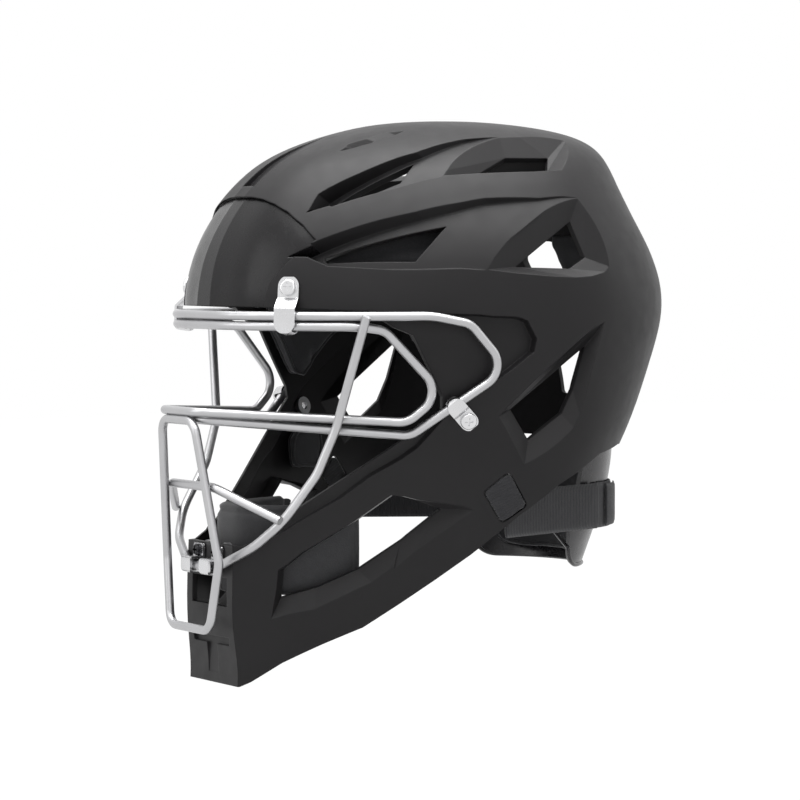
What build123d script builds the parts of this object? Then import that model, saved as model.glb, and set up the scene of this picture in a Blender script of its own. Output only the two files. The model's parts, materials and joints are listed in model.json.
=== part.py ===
from build123d import *
from math import cos, pi, radians, sin
import os

# Catcher's helmet: a one-piece shell with a jaw guard, a welded wire cage held by screwed
# clips, a padded inside, and a rear plate that pulls back on its elastic straps.
# Millimetres. Z is up from the lowest point of the chin, the face looks along -Y, and
# the wearer's left side is +X. The outline is centred on X = 0 and Y = 0.

# Driving sizes of the shell
shell_length = 268
shell_height = 302
shell_half_width = 110
shell_wall = 3.2
chin_half_width = 32
cage_reach = 16.4
recess_depth = 5.0
frame_depth = 6.0
side_scoop_turn_deg = 8.0
top_scoop_turn_deg = 13.0
channel_turn_deg = 3.6
channel_depth = 4.0
channel_half_width = 7.0
slit_depth = 3.0
panel_depth = 1.2
overrun = 12.0

# Driving sizes of the cage and its clips
wire_diameter = 4.8
wire_standoff = 3.6
side_standoff = 2.6
clip_wire_lift = 1.9
low_standoff = 1.2
crossing_play = 0.6
weld_pitch = 4.75
loop_bend = 12.0
brow_bend = 40.0
throat_bend = 9.0
cheek_bend = 30.0
clip_width = 11.5
side_clip_width = 9.8
clip_sheet = 1.3
clip_seat = 1.05
clip_rise_share = 1.55
clip_bend = 1.2
clip_round = 3.0
clip_end_share = 0.49
clip_tab = 5.7
side_clip_tab = 4.9
clip_hook = 5.0
chin_tab = 3.6
chin_clip_x = 11.0
chin_clip_z = 70.5
chin_wire_rise = 1.0
screw_head_diameter = 8.8
chin_head_diameter = 6.2
screw_head_height = 2.2
screw_head_round = 1.2
screw_diameter = 4.0
screw_play = 0.15
screw_length = 7.0
cross_width = 1.1
cross_length = 4.6
cross_depth = 1.4
nut_diameter = 10.0
nut_height = 2.6
fit_gap = 0.3
pad_gap = 0.5

# Driving sizes of the soft parts
liner_depth = 8.5
pad_thickness = 13.0
crown_pad_thickness = 11.0
crown_pad_half_width = 26.0
scoop_pad_depth = 10.9
scoop_pad_thickness = 5.0
pad_corner = 3.0
chin_pad_thickness = 14.0
chin_pad_bottom = 45.0
chin_pad_height = 53.0
chin_pad_bend = 8.0
chin_pad_round = 4.0

# Driving sizes of the rear plate and its straps
plate_radius = 56.0
plate_wall = 3.0
plate_span_deg = 150.0
plate_corner = 10.0
plate_pad_thickness = 8.0
strap_width = 25.0
strap_thickness = 1.8
strap_centre_z = 91.0
wrap_start_deg = 26.0
tab_start_deg = 36.0
tab_span_deg = 28.0
rivet_place_deg = 14.0
rivet_diameter = 8.0
rivet_height = 1.6
rivet_gap = 0.3
strap_clearance = 1.4
keeper_rise = 0.9
keeper_fill_share = 0.94

half_width = shell_half_width
overall_length = shell_length + cage_reach
front_y = cage_reach - overall_length / 2
wire_radius = wire_diameter / 2

# Horizontal sections of the outer surface, from the chin up. Each row holds the height,
# the front, the widest place and the back along the shell, the half width, the flat of
# the chin, and the two powers that round the front quarter, all as shares.
section_shares = [
    (-0.040, 0.019, 0.582, 0.583, 0.693, 0.865, 1.05, 1.00),
    (0.100, 0.019, 0.582, 0.678, 0.814, 0.865, 1.10, 1.00),
    (0.220, 0.019, 0.584, 0.750, 0.877, 0.850, 1.26, 1.00),
    (0.340, 0.018, 0.594, 0.824, 0.937, 0.700, 1.46, 1.09),
    (0.455, 0.011, 0.606, 0.907, 0.981, 0.440, 1.68, 1.38),
    (0.565, 0.003, 0.612, 0.965, 1.000, 0.270, 1.88, 1.76),
    (0.665, 0.000, 0.612, 1.000, 1.000, 0.240, 2.00, 2.00),
    (0.750, 0.015, 0.611, 0.980, 0.969, 0.216, 2.00, 2.00),
    (0.820, 0.052, 0.605, 0.940, 0.898, 0.192, 2.00, 2.00),
    (0.880, 0.106, 0.596, 0.912, 0.800, 0.179, 2.00, 2.00),
    (0.925, 0.170, 0.592, 0.895, 0.697, 0.163, 2.00, 2.00),
    (0.957, 0.249, 0.588, 0.868, 0.580, 0.145, 2.00, 2.00),
    (0.979, 0.331, 0.578, 0.808, 0.446, 0.127, 2.00, 2.00),
    (0.993, 0.410, 0.563, 0.710, 0.290, 0.094, 2.00, 2.00),
    (0.9985, 0.480, 0.563, 0.640, 0.150, 0.060, 2.00, 2.00),
    (1.000, 0.540, 0.563, 0.585, 0.045, 0.020, 2.00, 2.00),
]
back_power = 2.1
least_half_width = 1.5
quarter_steps = 5
spline_places = [k / (2 * quarter_steps) for k in range(2 * quarter_steps + 1)]


def section(up_share, inset):
    """Front, widest place, back, half width, chin flat and powers at a height."""
    rows = section_shares
    last = len(rows) - 1
    k = 0
    while k < last - 1 and up_share > rows[k + 1][0]:
        k += 1
    span = rows[k + 1][0] - rows[k][0]
    t = (up_share - rows[k][0]) / span
    mix = []
    for column in range(len(rows[0])):
        before, low, high, after = (
            rows[max(min(row, last), 0)][column] for row in (k - 1, k, k + 1, k + 2)
        )
        low_slope = (high - before) / (rows[k + 1][0] - rows[max(k - 1, 0)][0]) * span
        high_slope = (after - low) / (rows[min(k + 2, last)][0] - rows[k][0]) * span
        mix.append(
            low * (1 + 2 * t) * (1 - t) ** 2
            + low_slope * t * (1 - t) ** 2
            + high * t**2 * (3 - 2 * t)
            - high_slope * t**2 * (1 - t)
        )
    front = front_y + mix[1] * shell_length + inset
    middle = front_y + mix[2] * shell_length
    back = front_y + mix[3] * shell_length - inset
    wide = mix[4] * half_width - inset
    flat = min(mix[5] * chin_half_width, wide / 2)
    return front, middle, back, wide, flat, mix[6], mix[7]


def along(share):
    return front_y + share * shell_length


def width_at(y, up_share, inset):
    """Half width of the envelope at one place, by the same formula as its sections."""
    front, middle, back, wide, flat, p, q = section(up_share, inset)
    if y < middle:
        s = min(max((y - front) / (middle - front), 0), 1)
        return flat + (wide - flat) * (1 - (1 - s) ** p) ** (1 / q)
    s = min(max((y - middle) / (back - middle), 0), 1)
    return wide * (1 - s**back_power) ** (1 / back_power)


def on_side(along_share, up_share, depth=0):
    """Point of the left side at a place along and up the shell, a depth below it."""
    step = shell_wall
    y = along(along_share)
    z = up_share * shell_height
    x = width_at(y, up_share, 0)
    slope_y = (width_at(y + step, up_share, 0) - width_at(y - step, up_share, 0)) / (2 * step)
    rise = step / shell_height
    slope_z = width_at(y, min(up_share + rise, 1), 0) - width_at(y, up_share - rise, 0)
    outward = Vector(1, -slope_y, -slope_z / (2 * step)).normalized()
    return Vector(x, y, z) - outward * depth


def envelope_half(inset):
    """The left half of the smooth outer form, drawn in by an inset."""
    levels = []
    for row in section_shares:
        if row[4] * half_width < inset + least_half_width:
            break
        with BuildSketch(Plane.XY.offset(row[0] * (shell_height - inset))) as level_cut:
            front, middle, back, wide, flat, p, q = section(row[0], inset)
            turns = [radians(90 * k / quarter_steps) for k in range(quarter_steps + 1)]
            points = [
                (
                    flat + (wide - flat) * sin(t) ** (2 / q),
                    middle - (middle - front) * max(cos(t), 0) ** (2 / p),
                )
                for t in turns
            ]
            points += [
                (
                    wide * max(cos(t), 0) ** (2 / back_power),
                    middle + (back - middle) * sin(t) ** (2 / back_power),
                )
                for t in turns[1:-1]
            ]
            points.append((0, back))
            points = [Vector(*point) for point in points]
            leave = (points[1] - points[0]) * 2 * quarter_steps
            arrive = Vector(-pi * wide, 0)
            with BuildLine():
                Line((0, front), points[0])
                add(
                    Edge.make_spline(
                        points, tangents=(leave, arrive), parameters=spline_places, scale=False
                    )
                )
                Line(points[-1], (0, front))
            make_face()
        levels.append(level_cut.sketch.face())
    with BuildPart() as half:
        loft(sections=levels)
    return half.part


def prism_x(points, reach=2 * shell_half_width, radius=0):
    """A side-view outline, in shares along and up, carried through the left half."""
    with BuildPart() as prism:
        with BuildSketch(Plane.YZ) as outline:
            with BuildLine():
                Polyline([(along(a), u * shell_height) for a, u in points], close=True)
            make_face()
            if radius:
                fillet(outline.vertices(), radius)
        extrude(amount=reach, both=True)
    return prism.part


def facet_cutter(*rims, apex_out=shell_half_width, apex_in=0, way=Vector(1, 0, 1 / 2)):
    """A closed solid whose flanks join rims of equal count, capped by two fans."""
    faces = []
    count = len(rims[0])
    for near, far in zip(rims, rims[1:]):
        for i in range(count):
            j = (i + 1) % count
            faces.append(Face(Wire.make_polygon([near[i], near[j], far[j]])))
            faces.append(Face(Wire.make_polygon([near[i], far[j], far[i]])))
    for rim, reach in ((rims[0], apex_out), (rims[-1], -apex_in)):
        centre = sum(rim, Vector()) / count
        apex = centre + way.normalized() * reach
        for i in range(count):
            faces.append(Face(Wire.make_polygon([rim[i], rim[(i + 1) % count], apex])))
    return Solid(Shell(faces))


def pocket_rims(outer, inner, deepen=0, grow=0, through=0):
    """Rims of a bevelled pocket: lifted clear outside, at its floor, and past it."""
    count = len(outer)
    middle = (sum(p[0] for p in outer) / count, sum(p[1] for p in outer) / count)
    lip = []
    for (a, u), (b, v, depth) in zip(outer, inner):
        away = (Vector((a - middle[0]) * shell_length, (u - middle[1]) * shell_height)).normalized()
        a2 = a + away.X * grow / shell_length
        u2 = u + away.Y * grow / shell_height
        edge = on_side(a2, u2)
        floor = on_side(b, v, depth + deepen)
        lip.append(edge + (edge - floor).normalized() * overrun)
    floors = [on_side(b, v, depth + deepen) for b, v, depth in inner]
    rims = [lip, floors]
    if through:
        rims.append([on_side(b, v, depth + deepen + through) for b, v, depth in inner])
    return rims


# Vents of the left side. The outer rim lies on the surface and the inner one at a depth.
ear_rim_shares = [(0.462, 0.476), (0.521, 0.392), (0.622, 0.454), (0.659, 0.548), (0.692, 0.639)]
ear_floor_shares = [(0.491, 0.485), (0.533, 0.430), (0.606, 0.477), (0.632, 0.520), (0.660, 0.596)]
rear_side_rim_shares = [(0.436, 0.732), (0.669, 0.856), (0.712, 0.737), (0.663, 0.720)]
rear_side_floor_shares = [(0.503, 0.740), (0.651, 0.825), (0.671, 0.758), (0.627, 0.737)]
crown_rim_shares = [(0.392, 0.896), (0.560, 0.966), (0.723, 0.963), (0.657, 0.908)]
crown_floor_shares = [(0.465, 0.908), (0.556, 0.945), (0.664, 0.946), (0.640, 0.919)]
window_rim_shares = [
    (0.097, 0.205), (0.087, 0.119), (0.164, 0.138), (0.262, 0.185), (0.301, 0.207),
    (0.436, 0.311), (0.330, 0.330), (0.283, 0.338), (0.227, 0.294), (0.139, 0.238),
]
window_floor_shares = [
    (0.107, 0.205), (0.105, 0.155), (0.167, 0.171), (0.237, 0.202), (0.310, 0.253),
    (0.375, 0.308), (0.326, 0.325), (0.289, 0.334), (0.232, 0.291), (0.143, 0.235),
]
slit_rim_shares = [
    (0.242, 0.939), (0.271, 0.953), (0.326, 0.968), (0.391, 0.978), (0.359, 0.969), (0.307, 0.955),
]
slit_floor_shares = [
    (0.252, 0.942), (0.275, 0.952), (0.328, 0.965), (0.380, 0.975), (0.355, 0.967), (0.306, 0.956),
]

# Scoops: a bevelled lip leads down to a floor that ramps up to a ridge at the rear end.
# The floor rows end with the share of the frame depth that the lip has there.
side_scoop_rim_shares = [
    (0.084, 0.754), (0.158, 0.790), (0.286, 0.826), (0.405, 0.848), (0.579, 0.857),
    (0.669, 0.858), (0.432, 0.731), (0.304, 0.732), (0.144, 0.738), (0.119, 0.752),
]
side_scoop_floor_shares = [
    (0.138, 0.758, 0.8), (0.187, 0.776, 0.8), (0.290, 0.801, 0.8), (0.372, 0.814, 0.8),
    (0.520, 0.842, 0.5), (0.664, 0.855, 0.1), (0.434, 0.735, 0.1), (0.299, 0.745, 0.8),
    (0.145, 0.746, 0.8), (0.139, 0.753, 0.8),
]
side_scoop_hole_shares = [
    (0.139, 0.758), (0.187, 0.775), (0.290, 0.799), (0.372, 0.812), (0.299, 0.748), (0.142, 0.749),
]
top_scoop_rim_shares = [
    (0.134, 0.830), (0.164, 0.863), (0.244, 0.900), (0.329, 0.929), (0.426, 0.953),
    (0.560, 0.967), (0.388, 0.894), (0.304, 0.876), (0.175, 0.841),
]
top_scoop_floor_shares = [
    (0.168, 0.850, 0.8), (0.190, 0.866, 0.8), (0.255, 0.895, 0.8), (0.340, 0.925, 0.8),
    (0.430, 0.945, 0.6), (0.552, 0.966, 0.1), (0.390, 0.896, 0.1), (0.306, 0.881, 0.8),
    (0.178, 0.846, 0.8),
]
top_scoop_hole_shares = [
    (0.176, 0.853), (0.217, 0.876), (0.281, 0.903), (0.357, 0.928), (0.309, 0.889), (0.240, 0.868),
]

# Openings and lowered places seen from the side
face_opening_shares = [
    (-0.100, 0.671), (0.220, 0.660), (0.262, 0.632), (0.297, 0.618), (0.360, 0.511),
    (0.362, 0.489), (0.300, 0.437), (0.241, 0.392), (0.127, 0.307), (0.074, 0.262),
    (0.040, 0.248), (-0.100, 0.248),
]
lower_rim_shares = [
    (-0.100, 0.000), (0.030, 0.000), (0.050, 0.008), (0.109, 0.041), (0.182, 0.073),
    (0.254, 0.103), (0.315, 0.144), (0.377, 0.187), (0.439, 0.232), (0.522, 0.301),
    (0.600, 0.355), (0.703, 0.405), (0.780, 0.418), (1.100, 0.418),
]
below_rim_shares = [(1.100, -0.100), (-0.100, -0.100)]
temple_rim_shares = [
    (0.150, 0.662), (0.263, 0.657), (0.415, 0.654), (0.492, 0.650), (0.515, 0.643),
    (0.535, 0.611), (0.529, 0.588), (0.478, 0.554), (0.385, 0.499), (0.318, 0.421),
    (0.243, 0.370), (0.127, 0.287), (0.085, 0.262), (0.030, 0.300), (0.030, 0.600),
]
temple_floor_shares = [
    (0.150, 0.650), (0.272, 0.645), (0.425, 0.642), (0.487, 0.637), (0.510, 0.632),
    (0.524, 0.607), (0.519, 0.590), (0.474, 0.562), (0.380, 0.510), (0.302, 0.437),
    (0.241, 0.392), (0.127, 0.307), (0.075, 0.275), (0.050, 0.320), (0.050, 0.600),
]
strap_slot_shares = [(0.447, 0.343), (0.493, 0.380), (0.536, 0.318), (0.489, 0.285)]
strap_slot_round = 2.5
channel_front_share = 0.105
channel_back_share = 0.300
channel_low_share = 0.800
channel_end_up_share = 0.958

# Openings and lowered places seen from the front or the back: across and up, as shares
brow_panel_shares = [
    (0.000, 0.860), (0.120, 0.859), (0.212, 0.855), (0.309, 0.846), (0.400, 0.832),
    (0.493, 0.809), (0.567, 0.783), (0.500, 0.742), (0.455, 0.709), (0.427, 0.640),
    (0.000, 0.640),
]
rear_vent_shares = [
    [(0.336, 0.709), (0.336, 0.745), (0.400, 0.778), (0.510, 0.782), (0.600, 0.750), (0.580, 0.712)],
    [(0.182, 0.500), (0.270, 0.500), (0.390, 0.565), (0.390, 0.590), (0.330, 0.590), (0.182, 0.530)],
]
rear_vent_round = 4.0
rear_vent_taper_deg = 8.0
chin_mouth_shares = [(0.000, 0.139), (0.190, 0.139), (0.190, 0.189), (0.000, 0.189)]
chin_panel_shares = [
    (0.000, 0.018), (0.054, 0.018), (0.054, 0.070), (0.190, 0.070), (0.200, 0.084), (0.000, 0.084),
]
chin_panel_depth = 2.4


def turned(solid, first, second, angle_deg):
    """A copy of a half envelope turned about the line through two points."""
    return solid.rotate(Axis(first, second - first), angle_deg)


def deep(shares, scale=frame_depth):
    return [(a, u, d * scale) for a, u, d in shares]


def level(shares, depth):
    return [(a, u, depth) for a, u in shares]


def prism_y(points, near, far, radius=0, taper=0):
    """A front-view outline, in shares of half width and height, carried from near to far."""
    with BuildPart() as prism:
        with BuildSketch(Plane.XZ.offset(-near)) as outline:
            with BuildLine():
                Polyline([(x * half_width, u * shell_height) for x, u in points], close=True)
            make_face()
            if radius:
                fillet(outline.vertices(), radius)
        extrude(amount=near - far, taper=taper)
    return prism.part


def slab(bottom, top, half_width_of_slab, near, far):
    """An upright box on the left side, from the middle plane out."""
    with BuildPart() as block:
        with BuildSketch(Plane.XY.offset(bottom)):
            with Locations((half_width_of_slab / 2, (near + far) / 2)):
                Rectangle(half_width_of_slab, far - near)
        extrude(amount=top - bottom)
    return block.part


def channel_block(grow):
    """The straight block that marks the middle channel, grown by a wall if asked."""
    return slab(
        channel_low_share * shell_height,
        shell_height + overrun,
        channel_half_width + grow,
        along(channel_front_share) - grow,
        along(channel_back_share) + grow,
    )


def frame_at(along_share, up_share, up_direction=None):
    """A plane on the left side: x points out of the shell, y up along it."""
    base = on_side(along_share, up_share)
    outward = (base - on_side(along_share, up_share, shell_wall)).normalized()
    up = Vector(0, 0, 1) if up_direction is None else up_direction
    upward = (up - outward * up.dot(outward)).normalized()
    return Plane(origin=base, x_dir=outward, z_dir=outward.cross(upward))


def screw_hole(plane):
    with BuildPart() as hole:
        with BuildSketch(Plane(origin=plane.origin, z_dir=plane.x_dir)):
            Circle(screw_diameter / 2 + screw_play)
        extrude(amount=overrun, both=True)
    return hole.part


brow_screw_shares = (0.085, 0.700)
side_screw_shares = (0.403, 0.470)
strap_anchor_shares = (0.498, 0.318)
brow_plane = frame_at(*brow_screw_shares)
side_screw_plane = frame_at(*side_screw_shares)
chin_front_y = along(section_shares[1][1])
chin_plane = Plane(
    origin=(chin_clip_x, chin_front_y, chin_clip_z), x_dir=(0, -1, 0), z_dir=(-1, 0, 0)
)
outer_half = envelope_half(0)
inner_half = envelope_half(shell_wall)
side_ridge = (on_side(0.669, 0.858), on_side(0.432, 0.731))
top_ridge = (on_side(0.560, 0.967), on_side(0.388, 0.894))
scoops = [
    (
        side_scoop_rim_shares,
        side_scoop_floor_shares,
        side_scoop_hole_shares,
        (*side_ridge, side_scoop_turn_deg),
    ),
    (
        top_scoop_rim_shares,
        top_scoop_floor_shares,
        top_scoop_hole_shares,
        (*top_ridge, top_scoop_turn_deg),
    ),
]
frames = [
    (ear_rim_shares, level(ear_floor_shares, frame_depth)),
    (rear_side_rim_shares, level(rear_side_floor_shares, frame_depth)),
    (crown_rim_shares, level(crown_floor_shares, frame_depth)),
    (window_rim_shares, level(window_floor_shares, frame_depth)),
]
temple_floor = level(temple_floor_shares, recess_depth)
slit_floor = level(slit_floor_shares, slit_depth)

# What is taken off the inner form, so that the wall keeps its thickness behind each pocket
backings = []
for rim, floor in frames:
    backings.append(facet_cutter(*pocket_rims(rim, floor, shell_wall, shell_wall)))
backings.append(facet_cutter(*pocket_rims(slit_rim_shares, slit_floor, shell_wall, shell_wall)))
for rim, floor, hole, ridge in scoops:
    backing = facet_cutter(*pocket_rims(rim, deep(floor), 2 * overrun, shell_wall))
    backings.append(backing - turned(inner_half, *ridge))
temple = facet_cutter(*pocket_rims(temple_rim_shares, temple_floor, 2 * overrun, shell_wall))
backings.append(temple - envelope_half(shell_wall + recess_depth))
channel_end = on_side(channel_back_share, channel_end_up_share)
channel_hinge = (channel_end, channel_end + Vector(1, 0, 0), channel_turn_deg)
channel = channel_block(shell_wall)
backings.append(channel - turned(inner_half, *channel_hinge))
backings.append(
    slab(
        chin_panel_shares[0][1] * shell_height - shell_wall,
        chin_panel_shares[-1][1] * shell_height + shell_wall,
        chin_panel_shares[-2][0] * half_width + shell_wall,
        chin_front_y - overrun,
        chin_front_y + chin_panel_depth + shell_wall,
    )
)

with BuildPart() as cavity:
    add(inner_half)
    add(backings, mode=Mode.SUBTRACT, clean=False)

# What is taken off the outer form
cutters = []
for rim, floor in frames:
    cutters.append(facet_cutter(*pocket_rims(rim, floor, through=2 * overrun)))
slit = facet_cutter(*pocket_rims(slit_rim_shares, slit_floor), apex_out=overrun / 2, way=Vector(0, 0, 1))
cutters.append(slit)
for rim, floor, hole, ridge in scoops:
    scoop = facet_cutter(*pocket_rims(rim, deep(floor), overrun))
    cutters.append(scoop - turned(outer_half, *ridge))
    rims = [[on_side(a, u, d) for a, u in hole] for d in (0, 2 * overrun)]
    cutters.append(facet_cutter(*rims, apex_out=overrun))
temple = facet_cutter(*pocket_rims(temple_rim_shares, temple_floor, overrun))
cutters.append(temple - envelope_half(recess_depth))
channel = channel_block(0)
cutters.append(channel - turned(outer_half, *channel_hinge))
brow_panel = prism_y(brow_panel_shares, front_y - overrun, front_y + shell_half_width)
cutters.append(brow_panel - envelope_half(panel_depth))
chin_panel = prism_y(chin_panel_shares, chin_front_y - overrun, chin_front_y + chin_panel_depth)
cutters.append(chin_panel)
cutters.append(prism_y(chin_mouth_shares, chin_front_y - overrun, chin_front_y + overrun))
for outline in rear_vent_shares:
    cutters.append(
        prism_y(outline, along(0.880), along(1.100), rear_vent_round, -rear_vent_taper_deg)
    )
cutters.append(prism_x(face_opening_shares))
cutters.append(prism_x(lower_rim_shares + below_rim_shares))
cutters.append(prism_x(strap_slot_shares, radius=strap_slot_round))
for plane in (brow_plane, side_screw_plane, chin_plane):
    cutters.append(screw_hole(plane))

with BuildPart() as shell:
    add(outer_half)
    add(cavity.part, mode=Mode.SUBTRACT, clean=False)
    add(cutters, mode=Mode.SUBTRACT, clean=False)
    mirror(about=Plane.YZ)

# The wire cage. Every wire is one piece, welded where it touches the next.
side_wire_shares = (0.375, 0.4975)
brow_up_share = 0.652
inner_brow_up_share = 0.635
brow_places_share = [0.008, 0.040, 0.085, 0.140, 0.205, 0.320]
inner_brow_places_share = [0.008, 0.040, 0.085, 0.140, 0.190]


def on_frame(across_share, along_share, up_share):
    """Point at shares of the half width, the length and the height."""
    return Vector(across_share * half_width, along(along_share), up_share * shell_height)


def both_sides(points):
    """A run of left points followed by the same run mirrored and reversed."""
    return points + [Vector(-p.X, p.Y, p.Z) for p in reversed(points)]


def wire(points, bends, closed):
    """A round wire along a rounded polyline."""
    with BuildPart() as bar:
        with BuildLine() as path:
            FilletPolyline(*points, radius=bends, close=closed)
        with BuildSketch(Plane(origin=path.line @ 0, z_dir=path.line % 0)):
            Circle(wire_radius)
        sweep()
    return bar.part


outer_brow = [on_side(a, brow_up_share, -wire_standoff) for a in brow_places_share]
outer_side = [
    on_side(0.394, 0.638, -side_standoff),
    on_side(0.471, 0.559, -side_standoff),
    on_side(*side_wire_shares, -clip_wire_lift),
    on_side(0.302, 0.444, -low_standoff),
    on_frame(0.173, -0.034, 0.469),
]
outer_points = both_sides(outer_brow + outer_side)
outer_bends_left = [brow_bend] * len(outer_brow) + [loop_bend] * len(outer_side)
outer_bends = outer_bends_left + outer_bends_left[::-1]
inner_brow = [on_side(a, inner_brow_up_share, -wire_standoff) for a in inner_brow_places_share]
inner_side = [
    on_frame(0.791, 0.239, 0.627),
    on_frame(0.864, 0.351, 0.517),
    on_frame(0.800, 0.287, 0.467),
    on_frame(0.182, -0.050, 0.483),
]
inner_points = both_sides(inner_brow + inner_side)
inner_bends_left = [brow_bend] * len(inner_brow) + [loop_bend] * len(inner_side)
inner_bends = inner_bends_left + inner_bends_left[::-1]
cheek_points_left = [
    on_side(0.205, 0.652, -wire_standoff - weld_pitch),
    on_frame(0.643, 0.164, 0.457),
    on_frame(0.600, 0.131, 0.377),
    on_frame(0.545, 0.067, 0.295),
    on_frame(0.409, 0.030, 0.248),
    on_frame(0.182, 0.004, 0.212),
    on_frame(0.000, 0.000, 0.205),
]
cheek_points = cheek_points_left + [Vector(-p.X, p.Y, p.Z) for p in reversed(cheek_points_left[:-1])]
chin_points = both_sides([on_frame(0.572, 0.056, 0.298), on_frame(0.236, -0.0195, 0.351)])
throat_points = both_sides(
    [on_frame(0.177, -0.0516, 0.4674), on_frame(0.286, -0.019, 0.219), on_frame(0.218, -0.026, 0.099)]
)
with BuildPart() as outer_cage_loop:
    add(wire(outer_points, outer_bends, True))
with BuildPart() as inner_cage_loop:
    add(wire(inner_points, inner_bends, True))
with BuildPart() as cheek_bar:
    add(wire(cheek_points, cheek_bend, False))
with BuildPart() as chin_bar:
    add(wire(chin_points, loop_bend, False))
with BuildPart() as throat_loop:
    add(wire(throat_points, throat_bend, True))


def bent_strip(plane, places, width, corner):
    """A clip bent from sheet along a run of places, with rounded ends and a screw hole."""
    with BuildPart() as strip:
        with BuildSketch(plane):
            with BuildLine():
                FilletPolyline(*places, radius=clip_bend)
            trace(line_width=clip_sheet)
        extrude(amount=width / 2, both=True)
        face_on = Plane(origin=plane.origin, x_dir=plane.z_dir, z_dir=plane.x_dir)
        heights = [place[1] for place in places]
        with BuildSketch(face_on):
            with Locations((0, -(max(heights) + min(heights)) / 2)):
                RectangleRounded(width, max(heights) - min(heights) + clip_sheet, corner)
        extrude(amount=2 * overrun, both=True, mode=Mode.INTERSECT)
        with BuildSketch(face_on):
            Circle(screw_diameter / 2 + screw_play)
        extrude(amount=overrun, both=True, mode=Mode.SUBTRACT)
    return strip.part


def pan_screw(plane, head_diameter, base):
    """A pan head screw with a cross recess, its head standing on a clip."""
    face_on = Plane(origin=plane.origin, z_dir=plane.x_dir).offset(base)
    with BuildPart() as screw:
        with BuildSketch(face_on):
            Circle(head_diameter / 2)
        extrude(amount=screw_head_height)
        fillet(screw.edges().sort_by(Axis(face_on.origin, face_on.z_dir))[-1], screw_head_round)
        with BuildSketch(face_on):
            Circle(screw_diameter / 2)
        extrude(amount=-screw_length)
        with BuildSketch(face_on.offset(screw_head_height)):
            Rectangle(cross_width, cross_length)
            Rectangle(cross_length, cross_width)
        extrude(amount=-cross_depth, mode=Mode.SUBTRACT)
    return screw.part


def shell_nut(plane, base):
    """A round flanged nut behind the wall, around the end of a screw."""
    face_on = Plane(origin=plane.origin, z_dir=plane.x_dir).offset(base)
    with BuildPart() as nut:
        with BuildSketch(face_on):
            Circle(nut_diameter / 2)
            Circle(screw_diameter / 2 + screw_play, mode=Mode.SUBTRACT)
        extrude(amount=-nut_height)
    return nut.part


side_wire = on_side(*side_wire_shares, -clip_wire_lift)
side_plane = frame_at(*side_screw_shares, side_wire - side_screw_plane.origin)
side_wire_local = side_plane.to_local_coords(side_wire)
wrap_out = wire_radius + clip_sheet / 2 + crossing_play
brow_outer = brow_plane.to_local_coords(
    on_side(brow_screw_shares[0], brow_up_share, -wire_standoff)
)
brow_inner = brow_plane.to_local_coords(
    on_side(brow_screw_shares[0], inner_brow_up_share, -wire_standoff)
)
brow_clip_path = [
    (clip_seat, clip_tab),
    (clip_seat, -clip_tab),
    (brow_outer.X + wrap_out, brow_outer.Y + wrap_out),
    (brow_inner.X + wrap_out, brow_inner.Y - wrap_out),
    (brow_inner.X - wrap_out, brow_inner.Y - wrap_out),
    (brow_inner.X - wrap_out, brow_inner.Y - wrap_out + clip_hook),
]
side_clip_path = [
    (clip_seat, -side_clip_tab),
    (clip_seat, side_wire_local.Y - clip_rise_share * wrap_out),
    (side_wire_local.X + wrap_out, side_wire_local.Y - wrap_out),
    (side_wire_local.X + wrap_out, side_wire_local.Y + wrap_out),
    (side_wire_local.X - clip_hook / 2, side_wire_local.Y + wrap_out),
]
chin_wire_out = chin_front_y - along(0)
chin_wire_up = cheek_points_left[-1].Z - chin_plane.origin.Z + chin_wire_rise
chin_clip_path = [
    (clip_seat, chin_tab),
    (clip_seat, chin_wire_up + wrap_out),
    (chin_wire_out + wrap_out, chin_wire_up + wrap_out),
    (chin_wire_out + wrap_out, chin_wire_up - wrap_out),
    (chin_wire_out - clip_hook / 2, chin_wire_up - wrap_out),
]
head_base = clip_seat + clip_sheet / 2
nut_base = -shell_wall - fit_gap

with BuildPart() as brow_clip_left:
    add(bent_strip(brow_plane, brow_clip_path, clip_width, clip_end_share * clip_width))
with BuildPart() as brow_clip_right:
    mirror(brow_clip_left.part, about=Plane.YZ)
with BuildPart() as side_clip_left:
    add(bent_strip(side_plane, side_clip_path, side_clip_width, clip_end_share * side_clip_width))
with BuildPart() as side_clip_right:
    mirror(side_clip_left.part, about=Plane.YZ)
with BuildPart() as chin_clips:
    add(bent_strip(chin_plane, chin_clip_path, clip_width, clip_round))
    mirror(about=Plane.YZ)
with BuildPart() as brow_screws:
    add(pan_screw(brow_plane, screw_head_diameter, head_base))
    mirror(about=Plane.YZ)
with BuildPart() as side_screws:
    add(pan_screw(side_plane, screw_head_diameter, head_base))
    mirror(about=Plane.YZ)
with BuildPart() as chin_screws:
    add(pan_screw(chin_plane, chin_head_diameter, head_base))
    mirror(about=Plane.YZ)
with BuildPart() as cage_nuts:
    for plane in (brow_plane, side_plane, chin_plane):
        add(shell_nut(plane, nut_base))
    mirror(about=Plane.YZ)

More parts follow.
